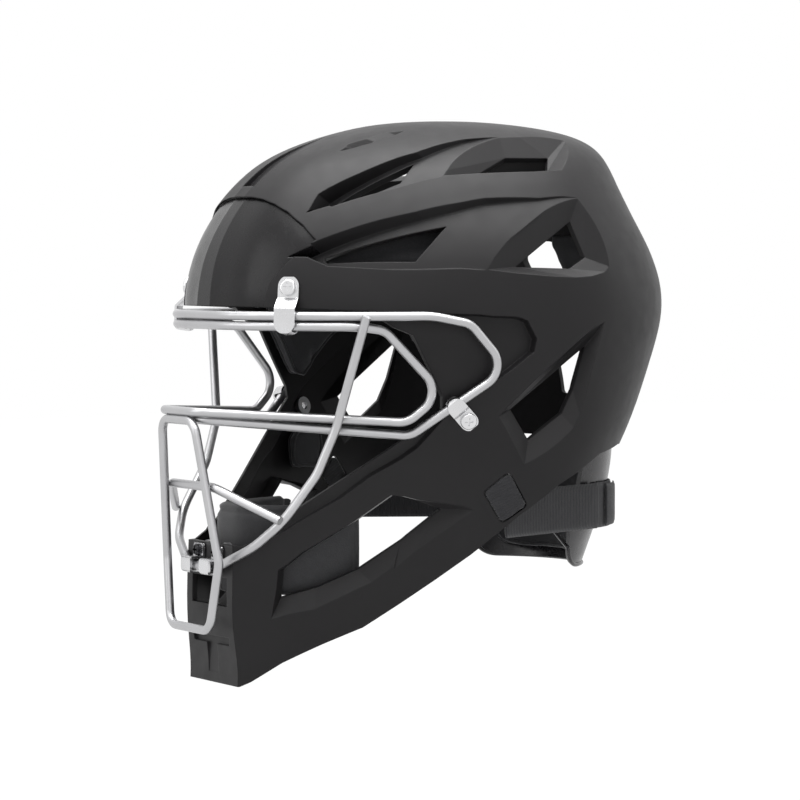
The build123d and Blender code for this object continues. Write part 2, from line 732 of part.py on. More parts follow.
# The padded inside. Each pad follows the wall at its own depth.
front_pad_shares = [(0.000, 0.676), (0.380, 0.676), (0.400, 0.710), (0.340, 0.775), (0.000, 0.788)]
rear_pad_shares = [
    (0.000, 0.460), (0.120, 0.460), (0.136, 0.500), (0.136, 0.620), (0.280, 0.650),
    (0.280, 0.780), (0.220, 0.800), (0.000, 0.800),
]
temple_pad_shares = [
    (0.300, 0.630), (0.360, 0.530), (0.400, 0.525), (0.470, 0.595), (0.590, 0.660),
    (0.590, 0.695), (0.300, 0.700),
]
scoop_pad_shares = [
    (0.165, 0.730), (0.440, 0.730), (0.440, 0.790), (0.370, 0.840), (0.250, 0.825), (0.170, 0.790),
]
cheek_pad_shares = [
    (0.340, 0.356), (0.425, 0.356), (0.447, 0.395), (0.440, 0.440), (0.372, 0.440), (0.345, 0.415),
]
chin_pad_line_shares = [
    (0.384, 0.281), (0.272, 0.171), (0.187, 0.108), (0.118, 0.076), (-0.118, 0.076),
    (-0.187, 0.108), (-0.272, 0.171), (-0.384, 0.281),
]


def wall_layer(inset, thickness):
    return envelope_half(inset) - envelope_half(inset + thickness)


close_layer = wall_layer(shell_wall + pad_gap, pad_thickness)
side_layer = wall_layer(liner_depth, pad_thickness)
with BuildPart() as front_pad:
    add(close_layer & prism_y(front_pad_shares, front_y - overrun, along(0.350)))
    mirror(about=Plane.YZ)
with BuildPart() as rear_pad:
    add(close_layer & prism_y(rear_pad_shares, along(0.700), along(1.100)))
    mirror(about=Plane.YZ)
with BuildPart() as crown_pad:
    add(
        wall_layer(shell_wall + pad_gap, crown_pad_thickness)
        & slab(shell_height / 2, shell_height, crown_pad_half_width, along(0.360), along(0.730))
    )
    mirror(about=Plane.YZ)
with BuildPart() as temple_pad_left:
    add(side_layer & prism_x(temple_pad_shares, radius=pad_corner))
with BuildPart() as temple_pad_right:
    mirror(temple_pad_left.part, about=Plane.YZ)
with BuildPart() as scoop_pad_left:
    add(
        wall_layer(scoop_pad_depth, scoop_pad_thickness)
        & prism_x(scoop_pad_shares, radius=pad_corner)
    )
with BuildPart() as scoop_pad_right:
    mirror(scoop_pad_left.part, about=Plane.YZ)
with BuildPart() as cheek_pad_left:
    add(close_layer & prism_x(cheek_pad_shares, radius=pad_corner))
with BuildPart() as cheek_pad_right:
    mirror(cheek_pad_left.part, about=Plane.YZ)
with BuildPart() as chin_pad:
    with BuildSketch(Plane.XY.offset(chin_pad_bottom)):
        with BuildLine():
            FilletPolyline(
                *[(x * half_width, along(a)) for x, a in chin_pad_line_shares], radius=chin_pad_bend
            )
        trace(line_width=chin_pad_thickness)
    extrude(amount=chin_pad_height)
    fillet(chin_pad.faces().filter_by(Axis.Z).edges(), chin_pad_round)

# The rear plate, its pad and the elastic strap that holds it to the two slots
plate_axis_shares = [(0.192, 0.644), (0.258, 0.675), (0.343, 0.7075), (0.401, 0.718)]
strap_axis_share = 0.708
plate_outline_shares = [(0.740, 0.192), (1.050, 0.192), (1.050, 0.400), (0.740, 0.400)]
plate_pad_outline_shares = [(0.760, 0.206), (1.050, 0.206), (1.050, 0.386), (0.760, 0.386)]


def plate_band(outer, inner, start_deg, span_deg):
    """A bent band about the leaning axis of the rear plate."""
    with BuildPart() as band:
        for up_share, along_share in plate_axis_shares:
            middle = (0, along(along_share))
            with BuildSketch(Plane.XY.offset(up_share * shell_height)):
                with BuildLine():
                    far = CenterArc(middle, outer, start_deg, span_deg)
                    near = CenterArc(middle, inner, start_deg, span_deg)
                    Line(far @ 0, near @ 0)
                    Line(far @ 1, near @ 1)
                make_face()
        loft()
    return band.part


def strap_band(outer, inner, start_deg, span_deg, width):
    """An upright bent strap of some width behind the rear plate."""
    middle = (0, along(strap_axis_share))
    with BuildPart() as belt:
        with BuildSketch(Plane.XY.offset(strap_centre_z - width / 2)):
            with BuildLine():
                far = CenterArc(middle, outer, start_deg, span_deg)
                near = CenterArc(middle, inner, start_deg, span_deg)
                Line(far @ 0, near @ 0)
                Line(far @ 1, near @ 1)
            make_face()
        extrude(amount=width)
    return belt.part


plate_start_deg = 90 - plate_span_deg / 2
with BuildPart() as rear_plate:
    add(plate_band(plate_radius, plate_radius - plate_wall, plate_start_deg, plate_span_deg))
    add(prism_x(plate_outline_shares, radius=plate_corner), mode=Mode.INTERSECT)
pad_outer = plate_radius - plate_wall - fit_gap
with BuildPart() as rear_plate_pad:
    add(plate_band(pad_outer, pad_outer - plate_pad_thickness, plate_start_deg, plate_span_deg))
    add(prism_x(plate_pad_outline_shares, radius=plate_corner), mode=Mode.INTERSECT)
strap_inner = plate_radius + fit_gap
strap_outer = strap_inner + strap_thickness
with BuildPart() as strap_wrap:
    add(strap_band(strap_outer, strap_inner, wrap_start_deg, 180 - 2 * wrap_start_deg, strap_width))
with BuildPart() as strap_tabs:
    add(
        strap_band(
            strap_outer + fit_gap + strap_thickness,
            strap_outer + fit_gap,
            tab_start_deg,
            tab_span_deg,
            strap_width - strap_thickness,
        )
    )
    mirror(about=Plane.YZ)
plate_middle = Vector(0, along(strap_axis_share))
rivet_turn = radians(90 - rivet_place_deg)
rivet_way = Vector(cos(rivet_turn), sin(rivet_turn))
rivet_seat = plate_middle + rivet_way * (strap_outer + rivet_gap) + Vector(0, 0, strap_centre_z)
with BuildPart() as plate_rivets:
    with BuildSketch(Plane(origin=rivet_seat, z_dir=rivet_way)):
        Circle(rivet_diameter / 2)
    extrude(amount=rivet_height)
    fillet(plate_rivets.edges().sort_by(Axis(rivet_seat, rivet_way))[-1], rivet_height / 2)
    mirror(about=Plane.YZ)

# The two free lengths of the strap and the webbing that shows in each slot
anchor = on_side(*strap_anchor_shares, shell_wall + strap_clearance + strap_thickness / 2)
wrap_turn = radians(wrap_start_deg)
strap_mid_radius = strap_outer + fit_gap + strap_thickness / 2
leave_point = plate_middle + Vector(cos(wrap_turn), sin(wrap_turn)) * strap_mid_radius
anchor_flat = Vector(anchor.X, anchor.Y)
run = (leave_point - anchor_flat).normalized()
with BuildPart() as strap_left:
    with BuildSketch(Plane.XY.offset(strap_centre_z - strap_width / 2)):
        with BuildLine():
            Line(anchor_flat, leave_point - run * fit_gap)
        trace(line_width=strap_thickness)
    extrude(amount=strap_width)
with BuildPart() as strap_right:
    mirror(strap_left.part, about=Plane.YZ)
slot_middle = (
    sum(place[0] for place in strap_slot_shares) / len(strap_slot_shares),
    sum(place[1] for place in strap_slot_shares) / len(strap_slot_shares),
)
keeper_shares = [
    (
        slot_middle[0] + (a - slot_middle[0]) * keeper_fill_share,
        slot_middle[1] + (u - slot_middle[1]) * keeper_fill_share,
    )
    for a, u in strap_slot_shares
]
with BuildPart() as strap_keeper_left:
    add(
        wall_layer(-keeper_rise, keeper_rise + shell_wall + strap_clearance / 2)
        & prism_x(keeper_shares, radius=strap_slot_round)
    )
with BuildPart() as strap_keeper_right:
    mirror(strap_keeper_left.part, about=Plane.YZ)

# Labels and files
os.makedirs("parts", exist_ok=True)
shell.part.label = "shell"
export_step(shell.part, "parts/shell.step")
outer_cage_loop.part.label = "outer_cage_loop"
export_step(outer_cage_loop.part, "parts/outer_cage_loop.step")
inner_cage_loop.part.label = "inner_cage_loop"
export_step(inner_cage_loop.part, "parts/inner_cage_loop.step")
cheek_bar.part.label = "cheek_bar"
export_step(cheek_bar.part, "parts/cheek_bar.step")
chin_bar.part.label = "chin_bar"
export_step(chin_bar.part, "parts/chin_bar.step")
throat_loop.part.label = "throat_loop"
export_step(throat_loop.part, "parts/throat_loop.step")
brow_clip_left.part.label = "brow_clip_left"
export_step(brow_clip_left.part, "parts/brow_clip_left.step")
brow_clip_right.part.label = "brow_clip_right"
export_step(brow_clip_right.part, "parts/brow_clip_right.step")
side_clip_left.part.label = "side_clip_left"
export_step(side_clip_left.part, "parts/side_clip_left.step")
side_clip_right.part.label = "side_clip_right"
export_step(side_clip_right.part, "parts/side_clip_right.step")
chin_clips.part.label = "chin_clips"
export_step(chin_clips.part, "parts/chin_clips.step")
brow_screws.part.label = "brow_screws"
export_step(brow_screws.part, "parts/brow_screws.step")
side_screws.part.label = "side_screws"
export_step(side_screws.part, "parts/side_screws.step")
chin_screws.part.label = "chin_screws"
export_step(chin_screws.part, "parts/chin_screws.step")
cage_nuts.part.label = "cage_nuts"
export_step(cage_nuts.part, "parts/cage_nuts.step")
front_pad.part.label = "front_pad"
export_step(front_pad.part, "parts/front_pad.step")
crown_pad.part.label = "crown_pad"
export_step(crown_pad.part, "parts/crown_pad.step")
rear_pad.part.label = "rear_pad"
export_step(rear_pad.part, "parts/rear_pad.step")
temple_pad_left.part.label = "temple_pad_left"
export_step(temple_pad_left.part, "parts/temple_pad_left.step")
temple_pad_right.part.label = "temple_pad_right"
export_step(temple_pad_right.part, "parts/temple_pad_right.step")
scoop_pad_left.part.label = "scoop_pad_left"
export_step(scoop_pad_left.part, "parts/scoop_pad_left.step")
scoop_pad_right.part.label = "scoop_pad_right"
export_step(scoop_pad_right.part, "parts/scoop_pad_right.step")
cheek_pad_left.part.label = "cheek_pad_left"
export_step(cheek_pad_left.part, "parts/cheek_pad_left.step")
cheek_pad_right.part.label = "cheek_pad_right"
export_step(cheek_pad_right.part, "parts/cheek_pad_right.step")
chin_pad.part.label = "chin_pad"
export_step(chin_pad.part, "parts/chin_pad.step")
rear_plate.part.label = "rear_plate"
export_step(rear_plate.part, "parts/rear_plate.step")
rear_plate_pad.part.label = "rear_plate_pad"
export_step(rear_plate_pad.part, "parts/rear_plate_pad.step")
strap_wrap.part.label = "strap_wrap"
export_step(strap_wrap.part, "parts/strap_wrap.step")
strap_tabs.part.label = "strap_tabs"
export_step(strap_tabs.part, "parts/strap_tabs.step")
plate_rivets.part.label = "plate_rivets"
export_step(plate_rivets.part, "parts/plate_rivets.step")
strap_left.part.label = "strap_left"
export_step(strap_left.part, "parts/strap_left.step")
strap_right.part.label = "strap_right"
export_step(strap_right.part, "parts/strap_right.step")
strap_keeper_left.part.label = "strap_keeper_left"
export_step(strap_keeper_left.part, "parts/strap_keeper_left.step")
strap_keeper_right.part.label = "strap_keeper_right"
export_step(strap_keeper_right.part, "parts/strap_keeper_right.step")
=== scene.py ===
import bpy
import bmesh
import json
import math
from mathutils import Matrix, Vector
from mathutils.bvhtree import BVHTree


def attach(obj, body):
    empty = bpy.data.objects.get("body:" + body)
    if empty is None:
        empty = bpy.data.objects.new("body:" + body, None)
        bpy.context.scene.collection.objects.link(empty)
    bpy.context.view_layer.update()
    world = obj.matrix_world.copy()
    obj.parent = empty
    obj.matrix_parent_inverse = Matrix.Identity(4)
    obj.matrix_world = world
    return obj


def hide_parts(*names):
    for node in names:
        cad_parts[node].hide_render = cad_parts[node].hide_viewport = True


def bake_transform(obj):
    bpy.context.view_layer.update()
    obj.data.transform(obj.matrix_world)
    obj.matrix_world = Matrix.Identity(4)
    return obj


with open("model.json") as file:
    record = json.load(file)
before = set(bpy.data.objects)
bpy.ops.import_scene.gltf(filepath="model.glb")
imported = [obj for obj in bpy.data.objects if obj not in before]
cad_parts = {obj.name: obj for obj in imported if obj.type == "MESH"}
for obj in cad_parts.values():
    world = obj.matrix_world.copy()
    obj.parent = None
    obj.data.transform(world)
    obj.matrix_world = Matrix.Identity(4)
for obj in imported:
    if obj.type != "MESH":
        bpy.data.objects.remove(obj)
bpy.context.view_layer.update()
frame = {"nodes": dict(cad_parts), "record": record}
nodes = frame["nodes"]
scene = bpy.context.scene
MM = 0.001


def linked(name, data):
    """A new object in the scene."""
    obj = bpy.data.objects.new(name, data)
    scene.collection.objects.link(obj)
    return obj


def set_facing(obj, place, way):
    """Put a camera or a lamp at a place, facing a way."""
    obj.location = place
    obj.rotation_mode = "QUATERNION"
    obj.rotation_quaternion = way.to_track_quat("-Z", "Y")


# Camera at the photograph's viewing angle
VIEW_AZIMUTH = math.radians(61.0)
VIEW_ELEVATION = math.radians(2.24)
VIEW_DISTANCE = 2.05
VIEW_TARGET = Vector((0.0, -0.0045, 0.149))
LENS_MM = 167.9
SENSOR_MM = 36.0
camera_data = bpy.data.cameras.new("camera")
camera_data.lens = LENS_MM
camera_data.sensor_width = SENSOR_MM
camera = linked("camera", camera_data)
back = Vector((
    math.sin(VIEW_AZIMUTH) * math.cos(VIEW_ELEVATION),
    -math.cos(VIEW_AZIMUTH) * math.cos(VIEW_ELEVATION),
    math.sin(VIEW_ELEVATION),
))
set_facing(camera, VIEW_TARGET + back * VIEW_DISTANCE, -back)
scene.camera = camera
scene.view_settings.view_transform = "Standard"

# Places of the colour sockets on a mix node, and the noise's useful part
MIX_COLOUR_A = 6
MIX_COLOUR_B = 7
MIX_COLOUR_RESULT = 2
NOISE_SPAN = (0.3, 0.7)


class Nodes:
    """A small helper that adds shader nodes and links them."""

    def __init__(self, name):
        self.mat = bpy.data.materials.new(name)
        self.mat.use_nodes = True
        self.tree = self.mat.node_tree
        self.bsdf = self.tree.nodes["Principled BSDF"]
        self.coords = self.add("ShaderNodeTexCoord").outputs["Object"]

    def add(self, kind, **settings):
        made = self.tree.nodes.new(kind)
        for key, value in settings.items():
            setattr(made, key, value)
        return made

    def link(self, a, b):
        self.tree.links.new(a, b)

    def feed(self, socket, value):
        """Set a socket to a number or a colour, or link another node's output to it."""
        if isinstance(value, bpy.types.NodeSocket):
            self.link(value, socket)
        elif isinstance(value, tuple):
            socket.default_value = (*value, 1.0)
        else:
            socket.default_value = value

    def principled(self, **values):
        """Set the principled shader's sockets, with _ for a space in a name."""
        for name, value in values.items():
            self.feed(self.bsdf.inputs[name.replace("_", " ")], value)

    def math(self, operation, a, b=0.0):
        made = self.add("ShaderNodeMath", operation=operation)
        self.feed(made.inputs[0], a)
        self.feed(made.inputs[1], b)
        return made.outputs[0]

    def noise(self, scale, detail=2.0, rough=0.5, stretch=None):
        made = self.add("ShaderNodeTexNoise")
        made.inputs["Scale"].default_value = scale
        made.inputs["Detail"].default_value = detail
        made.inputs["Roughness"].default_value = rough
        if stretch is None:
            self.link(self.coords, made.inputs["Vector"])
        else:
            grow = self.add("ShaderNodeVectorMath", operation="MULTIPLY")
            self.link(self.coords, grow.inputs[0])
            grow.inputs[1].default_value = stretch
            self.link(grow.outputs[0], made.inputs["Vector"])
        return made.outputs["Fac"]

    def span(self, value, low, high, to_low, to_high):
        made = self.add("ShaderNodeMapRange")
        self.link(value, made.inputs["Value"])
        for name, number in (("From Min", low), ("From Max", high), ("To Min", to_low), ("To Max", to_high)):
            made.inputs[name].default_value = number
        return made.outputs["Result"]

    def uneven(self, scale, detail, low, high):
        """A value that wanders between two limits, for roughness."""
        return self.span(self.noise(scale, detail), *NOISE_SPAN, low, high)

    def mix_colour(self, factor, a, b):
        made = self.add("ShaderNodeMix", data_type="RGBA")
        self.link(factor, made.inputs["Factor"])
        self.feed(made.inputs[MIX_COLOUR_A], a)
        self.feed(made.inputs[MIX_COLOUR_B], b)
        return made.outputs[MIX_COLOUR_RESULT]

    def bump(self, height, distance, strength=1.0, onto=None):
        made = self.add("ShaderNodeBump")
        made.inputs["Distance"].default_value = distance
        made.inputs["Strength"].default_value = strength
        self.link(height, made.inputs["Height"])
        if onto is not None:
            self.link(onto, made.inputs["Normal"])
        return made.outputs["Normal"]

    def separate(self):
        made = self.add("ShaderNodeSeparateXYZ")
        self.link(self.coords, made.inputs[0])
        return made.outputs


# Moulded shell: fine matte texture, and a smoother brow panel given by its half width at each height
SHELL_DARK = (0.0076, 0.0071, 0.0077)
SHELL_PALE = (0.0102, 0.0096, 0.0103)
BROW_PANEL_COLOUR = (0.0070, 0.0066, 0.0072)
BROW_PANEL_BACK_Y = -0.050
BROW_PANEL_SMOOTHER = 0.20
BROW_PANEL_GRAIN_LOST = 0.8
SHELL_EDGE_RADIUS = 0.0009
CURVE_REACH_MM = 100.0
BROW_PANEL_MM = [
    (193.3, 47.0), (214.1, 50.0), (224.1, 55.0), (236.5, 62.4), (244.3, 54.2), (251.3, 44.0),
    (255.5, 34.0), (258.2, 23.3), (259.4, 13.2), (259.7, 0.0),
]


def brow_panel_mask(n):
    """1 on the brow panel and 0 elsewhere, from the panel's outline."""
    x, y, z = n.separate()
    low, high = BROW_PANEL_MM[0][0] * MM, BROW_PANEL_MM[-1][0] * MM
    curve = n.add("ShaderNodeFloatCurve")
    points = curve.mapping.curves[0].points
    while len(points) < len(BROW_PANEL_MM):
        points.new(0.5, 0.5)
    for point, (up, out) in zip(points, BROW_PANEL_MM):
        point.location = ((up * MM - low) / (high - low), out / CURVE_REACH_MM)
        point.handle_type = "VECTOR"
    curve.mapping.update()
    n.link(n.span(z, low, high, 0.0, 1.0), curve.inputs["Value"])
    limit = n.math("MULTIPLY", curve.outputs[0], CURVE_REACH_MM * MM)
    inside = n.math("LESS_THAN", n.math("ABSOLUTE", x), limit)
    inside = n.math("MULTIPLY", inside, n.math("GREATER_THAN", z, low))
    inside = n.math("MULTIPLY", inside, n.math("LESS_THAN", z, high))
    return n.math("MULTIPLY", inside, n.math("LESS_THAN", y, BROW_PANEL_BACK_Y))


def shell_material():
    n = Nodes("shell_plastic")
    panel = brow_panel_mask(n)
    matte = n.mix_colour(n.noise(scale=35.0, detail=3.0), SHELL_DARK, SHELL_PALE)
    matte_rough = n.uneven(scale=120.0, detail=4.0, low=0.43, high=0.50)
    n.principled(
        Base_Color=n.mix_colour(panel, matte, BROW_PANEL_COLOUR),
        Roughness=n.math("SUBTRACT", matte_rough, n.math("MULTIPLY", panel, BROW_PANEL_SMOOTHER)),
        Specular_IOR_Level=0.23,
    )
    grain_left = n.math("SUBTRACT", 1.0, n.math("MULTIPLY", panel, BROW_PANEL_GRAIN_LOST))
    grain = n.math("MULTIPLY", n.noise(scale=2600.0, rough=0.6), grain_left)
    edge = n.add("ShaderNodeBevel", samples=6)
    edge.inputs["Radius"].default_value = SHELL_EDGE_RADIUS
    n.principled(Normal=n.bump(grain, distance=0.00005, strength=0.4, onto=edge.outputs[0]))
    return n.mat


def shaded(colour, factor):
    return tuple(channel * factor for channel in colour)


# A darker colour given to steel pieces below a height
DARK_BELOW_COLOUR = (0.03, 0.03, 0.032)
FINE_GRAIN = (1800.0, 1800.0, 1800.0)
BRUSHED_GRAIN = (2200.0, 2200.0, 500.0)


def steel_material(name, colour, rough, grain=FINE_GRAIN, darker_below=None):
    """Satin steel. Pieces below a height are coloured darker instead."""
    n = Nodes(name)
    shade = n.mix_colour(n.noise(scale=60.0, detail=4.0), shaded(colour, 0.86), colour)
    if darker_below is not None:
        # Darker colour on the pieces below the given height
        low = n.math("LESS_THAN", n.separate()[2], darker_below)
        shade = n.mix_colour(low, shade, DARK_BELOW_COLOUR)
    n.principled(
        Base_Color=shade,
        Metallic=1.0,
        Roughness=n.uneven(scale=900.0, detail=3.0, low=rough - 0.04, high=rough + 0.05),
        Normal=n.bump(n.noise(scale=1.0, rough=0.6, stretch=grain), distance=0.00001, strength=0.2),
    )
    return n.mat


def plate_material(name, colour, rough):
    """Semi-gloss moulded plastic."""
    n = Nodes(name)
    n.principled(
        Base_Color=n.mix_colour(n.noise(scale=40.0, detail=3.0), shaded(colour, 0.8), colour),
        Roughness=n.uneven(scale=90.0, detail=3.0, low=rough - 0.05, high=rough + 0.06),
        Normal=n.bump(n.noise(scale=2400.0), distance=0.00004, strength=0.3),
    )
    return n.mat


FUZZ_SHARE = 0.4


def cloth_material(name, colour, pitch, rough=0.9):
    """Knitted cover cloth: small stitches and fuzz, with a soft sheen."""
    n = Nodes(name)
    knit = n.noise(scale=1.0 / pitch)
    fuzz = n.noise(scale=260.0, detail=4.0)
    shade = n.math("ADD", n.math("MULTIPLY", knit, 1.0 - FUZZ_SHARE), n.math("MULTIPLY", fuzz, FUZZ_SHARE))
    n.principled(
        Base_Color=n.mix_colour(shade, shaded(colour, 0.55), shaded(colour, 1.5)),
        Roughness=rough,
        Specular_IOR_Level=0.25,
        Sheen_Weight=0.25,
        Sheen_Roughness=0.45,
        Normal=n.bump(knit, distance=0.00025, strength=0.55),
    )
    return n.mat


# The chin's screws lie below this height, and are coloured darker
CHIN_SCREWS_TOP = 0.1

materials = {
    "shell_plastic": shell_material(),
    "cage_steel": steel_material("cage_steel", (0.52, 0.52, 0.53), rough=0.38),
    "clip_steel": steel_material("clip_steel", (0.70, 0.70, 0.71), rough=0.24, grain=BRUSHED_GRAIN),
    "screw_steel": steel_material(
        "screw_steel", (0.74, 0.74, 0.75), rough=0.20, darker_below=CHIN_SCREWS_TOP
    ),
    "nut_steel": steel_material("nut_steel", (0.45, 0.45, 0.46), rough=0.38),
    "pad_cloth": cloth_material("pad_cloth", (0.022, 0.022, 0.024), pitch=0.0009),
    "chin_cloth": cloth_material("chin_cloth", (0.030, 0.030, 0.032), pitch=0.0007, rough=0.65),
    "plate_plastic": plate_material("plate_plastic", (0.017, 0.016, 0.018), rough=0.26),
    "strap_webbing": cloth_material("strap_webbing", (0.024, 0.024, 0.026), pitch=0.0006),
    "rivet_plastic": plate_material("rivet_plastic", (0.016, 0.016, 0.018), rough=0.35),
}
slot_of = {part["node"]: part["material_slot"] for part in frame["record"]["subparts"]}
for name, obj in nodes.items():
    finish = materials[slot_of[name]]
    if obj.material_slots:
        for slot in obj.material_slots:
            slot.material = finish
    else:
        obj.data.materials.append(finish)
body_of = {
    node: body for body, names in frame["record"]["behaviour"]["bodies"].items() for node in names
}


def new_object(name, mesh, slot, body):
    """A piece with a finish, riding on a body if one is named."""
    obj = linked(name, mesh)
    obj.data.materials.clear()
    obj.data.materials.append(materials[slot])
    for face in obj.data.polygons:
        face.use_smooth = True
    if body:
        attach(obj, body)
    return obj


def tree_of(mesh):
    """A search tree for the nearest point of a mesh."""
    corners = [vertex.co.copy() for vertex in mesh.vertices]
    return BVHTree.FromPolygons(corners, [tuple(face.vertices) for face in mesh.polygons])


def applied(obj):
    """The object's mesh with its modifiers applied."""
    depsgraph = bpy.context.evaluated_depsgraph_get()
    return bpy.data.meshes.new_from_object(obj.evaluated_get(depsgraph))


def apply_modifiers(obj):
    mesh = applied(obj)
    obj.modifiers.clear()
    obj.data = mesh


def add_remesh(obj, voxel):
    remesh = obj.modifiers.new("remesh", "REMESH")
    remesh.mode = "VOXEL"
    remesh.voxel_size = voxel


def add_smooth(obj, rounds):
    smooth = obj.modifiers.new("smooth", "SMOOTH")
    smooth.factor = 0.5
    smooth.iterations = rounds


# Cloth settings for the pads' covers
SWELL_PRESSURE = 4.0
SWELL_FRAMES = 20
CLOTH_QUALITY = 4


def swell(obj, cap):
    """Blow the form up as a cloth bag, no point moving further than a cap."""
    before = [vertex.co.copy() for vertex in obj.data.vertices]
    cloth = obj.modifiers.new("cloth", "CLOTH")
    cloth.settings.quality = CLOTH_QUALITY
    cloth.settings.use_pressure = True
    cloth.settings.uniform_pressure_force = SWELL_PRESSURE
    cloth.settings.effector_weights.gravity = 0.0
    cloth.point_cache.frame_start = 1
    cloth.point_cache.frame_end = SWELL_FRAMES
    for step in range(1, SWELL_FRAMES + 1):
        scene.frame_set(step)
    apply_modifiers(obj)
    scene.frame_set(1)
    for vertex, start in zip(obj.data.vertices, before):
        move = vertex.co - start
        if move.length > cap:
            vertex.co = start + move.normalized() * cap


def press_channel(obj, centre, way, depth, reach):
    """Press a sewn channel into a cover where a plane through centre, square to way, meets it."""
    centre = Vector(centre)
    way = Vector(way).normalized()
    normals = [vertex.normal.copy() for vertex in obj.data.vertices]
    for vertex, normal in zip(obj.data.vertices, normals):
        off = abs((vertex.co - centre).dot(way))
        if off < reach:
            vertex.co -= normal * depth * 0.5 * (1.0 + math.cos(math.pi * off / reach))


# A cover starts this far inside its CAD solid, may swell by a share more, and stays just inside it
PAD_SHRINK = 0.0022
PAD_VOXEL = 0.0040
PAD_ROUNDS = 6
SWELL_SHARE = 1.6
SKIN_DEPTH = 0.0001


def padded_cover(name, slot, channels, shrink=PAD_SHRINK, voxel=PAD_VOXEL, rounds=PAD_ROUNDS):
    """A crowned cover for a pad, swollen inside the space of its CAD solid."""
    source = nodes[name].data
    walls = tree_of(source)
    form = linked(name + "_form", source.copy())
    add_remesh(form, voxel)
    apply_modifiers(form)
    for vertex in form.data.vertices:
        place, normal, _, _ = walls.find_nearest(vertex.co)
        vertex.co = place - normal * shrink
    add_smooth(form, rounds)
    apply_modifiers(form)
    swell(form, shrink * SWELL_SHARE)
    form.modifiers.new("divide", "SUBSURF").levels = 1
    apply_modifiers(form)
    for channel in channels:
        press_channel(form, *channel)
    for vertex in form.data.vertices:
        place, normal, _, _ = walls.find_nearest(vertex.co)
        if (vertex.co - place).dot(normal) > -SKIN_DEPTH:
            vertex.co = place - normal * SKIN_DEPTH
    mesh = form.data
    bpy.data.objects.remove(form)
    cover = new_object(name + "_cover", mesh, slot, body_of[name])
    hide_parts(name)
    return cover


TUBE_STEPS = 3
TUBE_ORDER = 3


def tube(name, points, radius, slot, body):
    """A thin welt or rim along a closed run of points."""
    curve = bpy.data.curves.new(name, "CURVE")
    curve.dimensions = "3D"
    curve.bevel_depth = radius
    curve.bevel_resolution = TUBE_STEPS
    curve.resolution_u = TUBE_STEPS
    spline = curve.splines.new("NURBS")
    spline.points.add(len(points) - 1)
    for point, place in zip(spline.points, points):
        point.co = (*place, 1.0)
    spline.order_u = TUBE_ORDER
    spline.use_cyclic_u = True
    spline.use_endpoint_u = False
    path = linked(name + "_path", curve)
    mesh = applied(path)
    bpy.data.objects.remove(path)
    return new_object(name, mesh, slot, body)


# What counts as a sharp edge, as one point, and as a ring worth following
SHARP_DEG = 35.0
WELD = 1e-6
FEWEST_POINTS = 8


def edge_rings(mesh):
    """Closed runs of the sharp edges of a mesh, longest first."""
    form = bmesh.new()
    form.from_mesh(mesh)
    bmesh.ops.remove_doubles(form, verts=form.verts, dist=WELD)
    sharp = {}
    for edge in form.edges:
        if len(edge.link_faces) == 2 and edge.calc_face_angle(0.0) > math.radians(SHARP_DEG):
            for vertex in edge.verts:
                sharp.setdefault(vertex, []).append(edge)
    rings = []
    used = set()
    for start, edges in sharp.items():
        if start in used or len(edges) != 2:
            continue
        ring, here, edge = [start], start, edges[0]
        used.add(start)
        while True:
            there = edge.other_vert(here)
            if there in used or len(sharp[there]) != 2:
                break
            used.add(there)
            ring.append(there)
            edge = next(e for e in sharp[there] if e is not edge)
            here = there
        if len(ring) > FEWEST_POINTS:
            rings.append([vertex.co.copy() for vertex in ring])
    form.free()
    rings.sort(key=lambda ring: -run_length(ring))
    return rings


def run_length(points):
    return sum((a - b).length for a, b in zip(points, points[1:]))


def along(points, distances):
    """The place and the heading at each of some rising distances along a run of points."""
    passed, i = 0.0, 0
    for distance in distances:
        while passed + (points[i + 1] - points[i]).length < distance:
            passed += (points[i + 1] - points[i]).length
            i += 1
        step = points[i + 1] - points[i]
        yield points[i].lerp(points[i + 1], (distance - passed) / step.length), step.normalized()


def spaced(points, step):
    """The closed run with points at an even step."""
    closed = points + [points[0]]
    total = run_length(closed)
    count = max(int(total / step), FEWEST_POINTS)
    return [place for place, heading in along(closed, (total * k / count for k in range(count)))]


# A welt's points lie this far apart and stand this share of its radius proud of the cover
WELT_STEP = 0.004
WELT_PROUD = 0.25


def welt(name, cover, ring, radius, slot, body):
    """A sewn welt that follows a ring of edges, laid onto the cover."""
    skin = tree_of(cover.data)
    points = []
    for place in spaced(ring, WELT_STEP):
        on, normal, _, _ = skin.find_nearest(place)
        points.append(on + normal * radius * WELT_PROUD)
    return tube(name, points, radius, slot, body)


# Webbing: its size, its cross ribs and the fineness of its mesh
STRAP_WIDTH = 0.025
STRAP_THICKNESS = 0.0018
RIB_PITCH = 0.0015
RIB_RISE = 0.00016
ROWS_PER_RIB = 4.0
POINTS_ACROSS = 12
SELVEDGE_POWER = 10
SELVEDGE_LEAST = 0.04
LAST_SHARE = 0.999999
UP = Vector((0, 0, 1))


